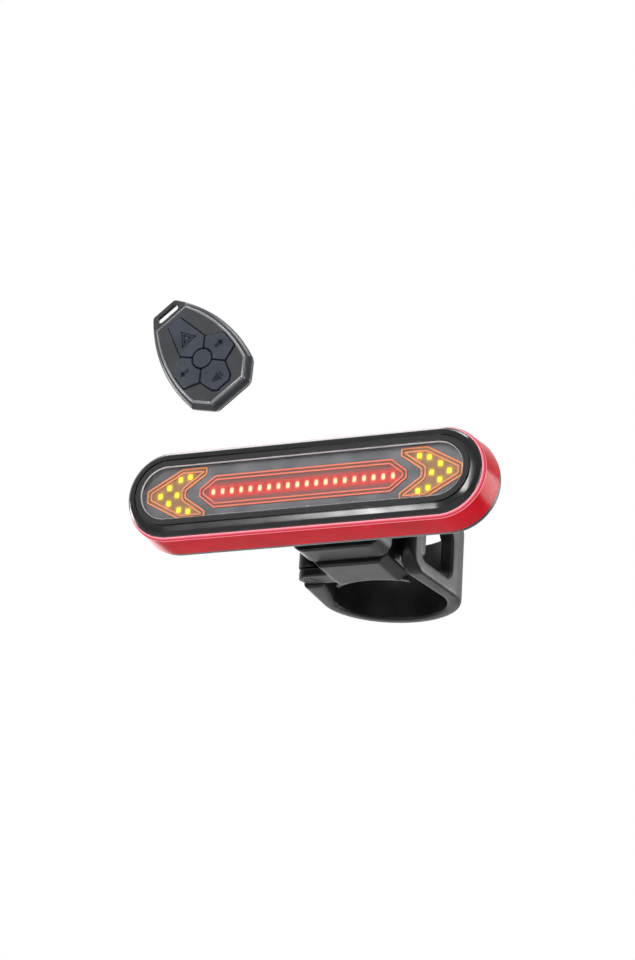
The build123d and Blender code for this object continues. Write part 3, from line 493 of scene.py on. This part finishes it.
moulded_looks = {
    "bezel_black": dict(
        dark=(8, 8, 10), pale=(14, 14, 16), roughness=0.16, grain=0.5, depth=0.003, edge_tone=(50, 50, 54),
        specular=0.26),
    "shell_black": dict(
        dark=(14, 14, 16), pale=(22, 22, 25), roughness=0.35, grain=0.3, depth=0.02, specular=0.2),
    "mask_grey": dict(
        dark=(96, 97, 100), pale=(122, 122, 126), roughness=0.55, grain=0.35, depth=0.02, specular=0.2),
    "board": dict(dark=(14, 70, 42), pale=(22, 92, 54), roughness=0.4, grain=0.4),
    "chip": dict(dark=(26, 26, 28), pale=(40, 40, 43), roughness=0.45),
    "battery_wrap": dict(dark=(120, 124, 130), pale=(146, 150, 156), roughness=0.35),
    "foam": dict(dark=(54, 54, 58), pale=(82, 82, 86), roughness=0.9, grain=0.4, depth=0.08),
    "rubber_black": dict(
        dark=(10, 10, 12), pale=(18, 18, 20), roughness=0.4, grain=0.35, depth=0.012, edge_tone=(48, 48, 52),
        specular=0.14),
    "bracket_black": dict(
        dark=(14, 14, 16), pale=(22, 22, 25), roughness=0.34, grain=0.22, edge_tone=(76, 76, 80), specular=0.16),
    "button_rubber": dict(dark=(60, 60, 63), pale=(78, 78, 82), roughness=0.6, grain=0.3, depth=0.015),
    "remote_black": dict(
        dark=(36, 38, 41), pale=(46, 48, 52), roughness=0.26, grain=0.22, depth=0.006, specular=0.22),
    "remote_key": dict(
        dark=(44, 48, 55), pale=(54, 58, 66), roughness=0.5, edge_tone=(90, 93, 100), specular=0.15),
    # Painted highlight: the pale finish of the ring along the lens's inner edge.
    "painted_highlight_edge": dict(dark=(196, 197, 200), pale=(216, 216, 220), roughness=0.4, grain=0.35),
    # A painted highlight: the rim bead's finish is paler than the case.
    "rim_bead": dict(dark=(92, 93, 96), pale=(112, 113, 117), roughness=0.2, grain=0.22, depth=0.004),
    "button_mark": dict(dark=(150, 151, 154), pale=(170, 171, 174), roughness=0.5),
    "key_mark": dict(dark=(24, 26, 30), pale=(34, 36, 40), roughness=0.5, specular=0.1),
    "silicone": dict(dark=(34, 34, 37), pale=(48, 48, 51), roughness=0.65),
}
metal_looks = {
    "steel": dict(dark=(132, 132, 134), pale=(196, 196, 198), roughness=0.28),
    "cell_steel": dict(dark=(150, 150, 152), pale=(206, 206, 208), roughness=0.22),
    "dark_steel": dict(dark=(40, 40, 42), pale=(64, 64, 66), roughness=0.4),
}
finishes = {
    "lens_smoke": lens_material(),
    "ring_red": ring_material(),
    "guide_red": guide_material(
        "guide_red", row_glow, bar_face,
        plain=(112, 68, 60), strip=(196, 40, 32), outline=(226, 112, 84), halo=(226, 70, 50)),
    "guide_amber": guide_material(
        "guide_amber", arrow_glow, arrow_face,
        plain=(112, 82, 58), strip=(156, 110, 64), outline=(226, 136, 84), halo=(190, 152, 12)),
    "lamp_red": lamp_material("lamp_red", middle=(255, 214, 160), rim=(255, 140, 100), power=0.6),
    "lamp_amber": lamp_material("lamp_amber", middle=(250, 226, 40), rim=(220, 190, 20), power=0.6),
}
for maker, looks in ((moulded, moulded_looks), (metal, metal_looks)):
    for name, look in looks.items():
        finishes[name] = maker(name, **look)

# Piece helpers, with the angles from which an edge stays sharp
weld_distance = 0.001
piece_sharp = math.radians(38)
skin_sharp = math.radians(60)
smooth_share = 0.5


def make_piece(name, vertices, faces, slot, body):
    """A mesh from points in millimetres, smooth but for its sharp edges, riding on a body."""
    bm = bmesh.new()
    for vertex in vertices:
        bm.verts.new([c * mm for c in vertex])
    bm.verts.ensure_lookup_table()
    for face in faces:
        bm.faces.new([bm.verts[i] for i in face])
    bmesh.ops.remove_doubles(bm, verts=bm.verts, dist=weld_distance * mm)
    bmesh.ops.recalc_face_normals(bm, faces=bm.faces)
    return finish_piece(name, bm, slot, body, piece_sharp)


def finish_piece(name, bm, slot, body, sharp):
    """Turns an edit mesh in metres into a piece with its finish, riding on its body if it has one."""
    mesh = bpy.data.meshes.new(name)
    bm.to_mesh(mesh)
    bm.free()
    for polygon in mesh.polygons:
        polygon.use_smooth = True
    mesh.set_sharp_from_angle(angle=sharp)
    mesh.materials.append(finishes[slot])
    piece = bpy.data.objects.new(name, mesh)
    bpy.context.scene.collection.objects.link(piece)
    if body:
        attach(piece, body)
    return piece


def ring_faces(first, rings, count, closed=False):
    """Quads between rings of count points each; closed joins the last ring to the first one too."""
    faces = []
    for ring in range(rings if closed else rings - 1):
        here = first + ring * count
        there = first + (ring + 1) % rings * count
        for k in range(count):
            n = (k + 1) % count
            faces.append((here + k, here + n, there + n, there + k))
    return faces


def stack_faces(first, rings, count):
    """The sides and both caps of a stack of rings."""
    last = first + (rings - 1) * count
    caps = [tuple(range(start, start + count)) for start in (first, last)]
    return ring_faces(first, rings, count) + caps


def eased(corners, steps=5):
    """A closed profile from (radius, front, easing) corners, each rounded by its easing."""
    points = []
    for i, (radius, front, ease) in enumerate(corners):
        corner = Vector((radius, front))
        if not ease:
            points.append(corner)
            continue
        before = Vector(corners[i - 1][:2])
        after = Vector(corners[(i + 1) % len(corners)][:2])
        start = corner + (before - corner).normalized() * ease
        end = corner + (after - corner).normalized() * ease
        for k in range(steps + 1):
            t = k / steps
            points.append((1 - t) ** 2 * start + 2 * (1 - t) * t * corner + t * t * end)
    return points


def stadium_sweep(name, corners, slot, body, steps=56):
    """A closed profile swept round the light's long rounded outline."""
    profile = eased(corners)
    turns = [math.pi * (k / steps - 1 / 2) for k in range(steps + 1)]
    path = [(core_half, turn) for turn in turns] + [(-core_half, turn + math.pi) for turn in turns]
    vertices = [
        (middle + p.x * math.cos(turn), -p.y, p.x * math.sin(turn)) for middle, turn in path for p in profile
    ]
    faces = ring_faces(0, len(path), len(profile), closed=True)
    return make_piece(name, vertices, faces, slot, body)


def soft_copy(name, sources, voxel, rounds, slot, body, extra=None):
    """One closed skin over CAD nodes, with its edges eased: a fine remesh, then smoothing."""
    bm = bmesh.new()
    for source in sources:
        bm.from_mesh(nodes[source].data)
    if extra:
        extra(bm)
    mesh = bpy.data.meshes.new(name + "_rough")
    bm.to_mesh(mesh)
    bm.free()
    rough = bpy.data.objects.new(name + "_rough", mesh)
    bpy.context.scene.collection.objects.link(rough)
    remesh = rough.modifiers.new("remesh", "REMESH")
    remesh.mode = "VOXEL"
    remesh.voxel_size = voxel * mm
    smooth = rough.modifiers.new("smooth", "SMOOTH")
    smooth.factor = smooth_share
    smooth.iterations = rounds
    settled = bpy.data.meshes.new_from_object(rough.evaluated_get(bpy.context.evaluated_depsgraph_get()))
    bpy.data.objects.remove(rough)
    bm = bmesh.new()
    bm.from_mesh(settled)
    piece = finish_piece(name, bm, slot, body, skin_sharp)
    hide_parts(*sources)
    return piece


# Finishes of the nodes that stay as they are
for name, node in nodes.items():
    node.data.materials.clear()
    node.data.materials.append(finishes[slot_of_node[name]])

nodes["strap_pin"].data.materials[0] = finishes["dark_steel"]

# Light: bezel, lens and red ring as smooth sweeps
bezel_piece = stadium_sweep("bezel_shell", [
    (bezel_hole_radius, bezel_front, lip_easing),
    (groove_inner_radius, bezel_front, groove_easing),
    (groove_inner_radius, groove_floor, 0.0),
    (groove_outer_radius, groove_floor, 0.0),
    (groove_outer_radius, bezel_front, groove_easing),
    (bevel_radius, bevel_front, bevel_easing),
    (bezel_radius, side_front, side_easing),
    (bezel_radius, bezel_rear, 0.0),
    (bezel_cavity_radius, bezel_rear, 0.0),
    (bezel_cavity_radius, web_rear, 0.0),
    (lens_seat_radius, web_rear, 0.0),
    (lens_seat_radius, lens_seat_front, 0.0),
    (bezel_hole_radius, lens_seat_front, 0.0),
], "bezel_black", "light")
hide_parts("bezel")

lens_piece = stadium_sweep("lens_pane", [
    (0.0, face_front, 0.0),
    (lens_radius, face_front, lens_easing),
    (lens_radius, flange_front, 0.0),
    (flange_radius, flange_front, 0.0),
    (flange_radius, lens_rear, 0.0),
    (0.0, lens_rear, 0.0),
], "lens_smoke", "light")
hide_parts("lens")

ring_piece = stadium_sweep("red_ring_band", [
    (bezel_radius + bezel_clearance, ring_front, 0.0),
    (ring_front_radius, ring_front, ring_front_easing),
    (ring_shoulder_radius, ring_shoulder, shoulder_easing),
    (ring_rear_radius, ring_rear, ring_rear_easing),
    (bezel_radius + shell_clearance, ring_rear, 0.0),
    (bezel_radius + shell_clearance, ring_step_front, 0.0),
    (bezel_radius + bezel_clearance, ring_step_front, 0.0),
], "ring_red", "light")
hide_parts("red_ring")

# Painted highlight along the lens's inner edge: a pale ring, with corners inwards from its side and behind
# its front
edge_highlight_corners = [(0.08, 0.2), (0.23, 0.7), (0.15, 0.75), (0.04, 0.25)]
stadium_sweep(
    "lens_inner_edge", [(lens_radius - inset, face_front - depth, 0.0) for inset, depth in edge_highlight_corners],
    "painted_highlight_edge", "light")

# Lamp windows: small pillow shaped panes on the light guides, in front of the lamps, which glow with painted
# light where the lamps show through the guides
# A ring is a share of the window's half size and a share of its rise.
window_rise = 0.12
window_rings = ((1.0, 0.0), (1.0, 0.5), (0.86, 0.9), (0.5, 1.0))
window_turns = 20


def lamp_windows(name, places, half, face, slot):
    """One pane for each place (x, z), with rounded corners and an eased front."""
    vertices, faces = [], []
    for x, z in places:
        faces += stack_faces(len(vertices), len(window_rings), window_turns)
        for share, rise in window_rings:
            for k in range(window_turns):
                turn = 2 * math.pi * k / window_turns
                c, t = math.cos(turn), math.sin(turn)
                size = share * (abs(c) ** corner_power + abs(t) ** corner_power) ** (-1 / corner_power)
                vertices.append((x + half[0] * size * c, face - window_rise * rise, z + half[1] * size * t))
    make_piece(name, vertices, faces, slot, "light")


red_places = [((k - (red_count - 1) / 2) * red_pitch, 0) for k in range(red_count)]
lamp_windows("red_lamp_windows", red_places, red_half, bar_face, "lamp_red")
for side, direction in (("left", -1), ("right", 1)):
    amber_places = [
        (direction * share_x * arrow_tip, mirror * share_z * arrow_half_height)
        for share_x, share_z in amber_shares for mirror in ((1, -1) if share_z else (1,))
    ]
    lamp_windows(side + "_amber_lamp_windows", amber_places, amber_half, arrow_face, "lamp_amber")

# Bracket, clip and strap with eased edges
soft_copy("bracket_body", ["bracket_block"], voxel=0.3, rounds=7, slot="bracket_black", body="bracket")
soft_copy("clip_body", ["rear_clip"], voxel=0.28, rounds=6, slot="bracket_black", body="light")

strap_middle = 17.8
strap_core_radius = 2.0
strap_core_length = 21.0


def strap_core(bm):
    """A round core where the wrap meets the loop, so that the skin is one piece."""
    turned = bmesh.ops.create_cone(
        bm, cap_ends=True, segments=32, radius1=strap_core_radius * mm, radius2=strap_core_radius * mm,
        depth=strap_core_length * mm)
    bmesh.ops.translate(bm, verts=turned["verts"], vec=(strap_middle * mm, 0, 0))


strap_piece = soft_copy(
    "strap_band", ["strap_wrap", "strap_loop"], voxel=0.35, rounds=16, slot="rubber_black", body=None,
    extra=strap_core)
# The bend runs slantwise, so that the arm on the other side of the post stays behind its start.
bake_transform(strap_piece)

# Remote and its keys with eased edges
for half in ("front", "back"):
    soft_copy(
        f"remote_{half}_skin", [f"remote_{half}_case"], voxel=0.25, rounds=3, slot="remote_black",
        body="remote")
for key in ("hazard_key", "left_key", "right_key", "horn_key", "centre_key"):
    soft_copy(key + "_cap", [key], voxel=0.12, rounds=3, slot="remote_key", body=body_of_node[key])


def on_remote(u, v, height):
    """A point in front of the remote's parting plane, u across, v up and height outwards."""
    point = remote_middle + u * remote_u + v * remote_v
    return point.x, point.y - height, point.z


def on_key(u, v, height):
    """A point over the faces of the remote's keys."""
    return on_remote(u, v, key_top + height)


# Rim bead round the raised face, paler than the case as a painted highlight along the rim: the case's
# outline below the tab, drawn in by each point of a profile
# Outline points are (u, v) in the remote's own plane, and profile points are (inset, height).
case_high, case_side, case_low = (4.2, 23.2), (9.6, 13.0), (11.4, -9.6)
case_foot = (6.6, -15.1)
face_line = 19.6
bead_profile = [(1.35, 3.2), (1.45, 3.5), (1.65, 3.78), (1.85, 3.9), (2.1, 3.9), (2.15, 3.7)]
bead_steps = 28


def circle_through(a, b, c):
    """Middle and radius of the circle through three points."""
    (ax, ay), (bx, by), (cx, cy) = a, b, c
    a2, b2, c2 = ax * ax + ay * ay, bx * bx + by * by, cx * cx + cy * cy
    size = 2 * (ax * (by - cy) + bx * (cy - ay) + cx * (ay - by))
    x = (a2 * (by - cy) + b2 * (cy - ay) + c2 * (ay - by)) / size
    y = (a2 * (cx - bx) + b2 * (ax - cx) + c2 * (bx - ax)) / size
    return x, y, math.hypot(ax - x, ay - y)


def case_outline():
    """The case's two long arcs and its foot, clockwise from the face's upper right corner."""
    middle_u, middle_v, radius = circle_through(case_high, case_side, case_low)
    start = math.asin((face_line - middle_v) / radius)
    end = math.asin((case_low[1] - middle_v) / radius)
    turns = [start + (end - start) * k / bead_steps for k in range(bead_steps + 1)]
    right_side = [Vector((middle_u + radius * math.cos(t), middle_v + radius * math.sin(t))) for t in turns]
    right_side.append(Vector(case_foot))
    return right_side + [Vector((-point.x, point.y)) for point in reversed(right_side)]


def drawn_in(points, inset):
    """A closed clockwise ring of points moved inwards."""
    moved = []
    for k, point in enumerate(points):
        before = (point - points[k - 1]).normalized()
        after = (points[(k + 1) % len(points)] - point).normalized()
        first, second = Vector((before.y, -before.x)), Vector((after.y, -after.x))
        moved.append(point + inset * (first + second) / (1 + first.dot(second)))
    return moved


case_ring = case_outline()
bead_points = [
    on_remote(point.x, point.y, height)
    for inset, height in bead_profile for point in drawn_in(case_ring, inset)
]
bead_faces = ring_faces(0, len(bead_profile), len(case_ring), closed=True)
make_piece("remote_rim_bead", bead_points, bead_faces, "rim_bead", "remote")

# Signs: low raised marks whose outlines are convex rings of (u, v) points
mark_rise = 0.12
mark_sink = 0.04
button_low, button_high = box_in_mm("power_button")
button_middle = (button_low + button_high) / 2


def on_button(u, v, height):
    """A point over the power button on the light's back."""
    return button_middle.x + u, button_high.y + height, button_middle.z + v


def raised_marks(name, outlines, place, slot, body):
    """A prism on each outline, from under the surface that place gives to above it."""
    vertices, faces = [], []
    for outline in outlines:
        faces += stack_faces(len(vertices), 2, len(outline))
        for height in (-mark_sink, mark_rise):
            vertices += [place(u, v, height) for u, v in outline]
    make_piece(name, vertices, faces, slot, body)


def bar(start, end, width):
    """Four corners of a straight stroke."""
    start, end = Vector(start), Vector(end)
    along = (end - start).normalized() * width / 2
    across = Vector((-along.y, along.x))
    return [start - along + across, start - along - across, end + along - across, end + along + across]


# Hazard key: two triangles of strokes
stroke = 0.42
hazard_outer = [(-2.4, 7.2), (2.4, 7.2), (0.0, 11.3)]
hazard_inner = [(-1.1, 7.95), (1.1, 7.95), (0.0, 9.85)]
hazard_bars = [
    bar(a, b, stroke) for ring in (hazard_outer, hazard_inner) for a, b in zip(ring, ring[1:] + ring[:1])]
raised_marks("hazard_mark", hazard_bars, on_key, "key_mark", body_of_node["hazard_key"])

# Left and right keys: an arrow that points outwards
sign_tip = 8.2
sign_base = 6.9
sign_tail = 5.5
sign_half = 1.2
sign_stroke = 0.9
for key, side in (("left_key", -1), ("right_key", 1)):
    head = [(side * sign_tip, 0.0), (side * sign_base, sign_half), (side * sign_base, -sign_half)]
    shaft = bar((side * sign_base, 0.0), (side * sign_tail, 0.0), sign_stroke)
    raised_marks(key + "_mark", [head, shaft], on_key, "key_mark", body_of_node[key])

# Horn key: a cone, its back and one wave
horn_cone = [(-0.9, -7.9), (0.9, -7.0), (0.9, -9.8), (-0.9, -8.9)]
horn_back = ((-1.35, -8.0), (-1.35, -8.8))
horn_wave = ((1.5, -7.6), (1.5, -9.2))
horn_sign = [horn_cone, bar(*horn_back, stroke), bar(*horn_wave, stroke)]
raised_marks("horn_key_mark", horn_sign, on_key, "key_mark", body_of_node["horn_key"])

# Power button: an open circle of short strokes and an upright stroke
power_radius = 1.5
power_stroke = 0.5
power_start = 125
power_sweep = 290
power_steps = 12
power_upright = ((0.0, 0.4), (0.0, 1.9))
power_turns = [math.radians(power_start + power_sweep * k / power_steps) for k in range(power_steps + 1)]
power_points = [(power_radius * math.cos(t), power_radius * math.sin(t)) for t in power_turns]
power_bars = [bar(a, b, power_stroke) for a, b in zip(power_points, power_points[1:])]
power_bars.append(bar(*power_upright, power_stroke))
raised_marks("power_mark", power_bars, on_button, "button_mark", body_of_node["power_button"])

# Port cover and power button with eased edges
soft_copy(
    "port_cover_skin", ["port_cover"], voxel=0.15, rounds=3, slot=slot_of_node["port_cover"],
    body="port_flap")
soft_copy(
    "power_button_cap", ["power_button"], voxel=0.12, rounds=3, slot=slot_of_node["power_button"],
    body="power_push")

# Floor, in metres: its glow shows to the camera and in mirrors, but doesn't light the object
floor_half = 1.5
floor_height = -0.45
floor_glow = 0.35
floor_dark = (0.78, 0.78, 0.78)
floor_pale = (0.82, 0.82, 0.82)
floor_corners = ((-1, -1), (1, -1), (1, 1), (-1, 1))
floor_mesh = bpy.data.meshes.new("floor")
floor_mesh.from_pydata(
    [(x * floor_half, y * floor_half, floor_height) for x, y in floor_corners], [], [(0, 1, 2, 3)])
floor = bpy.data.objects.new("floor", floor_mesh)
bpy.context.scene.collection.objects.link(floor)
paint = Shader("floor_paint")
paint.set(
    Base_Color=paint.ramp(paint.noise(size=60.0, detail=3.0), (0.3, floor_dark), (0.7, floor_pale)),
    Roughness=0.7, Emission_Color=(1.0, 1.0, 1.0),
    Emission_Strength=paint.math("MULTIPLY", seen_directly(paint.tree), floor_glow))
floor_mesh.materials.append(paint.material)
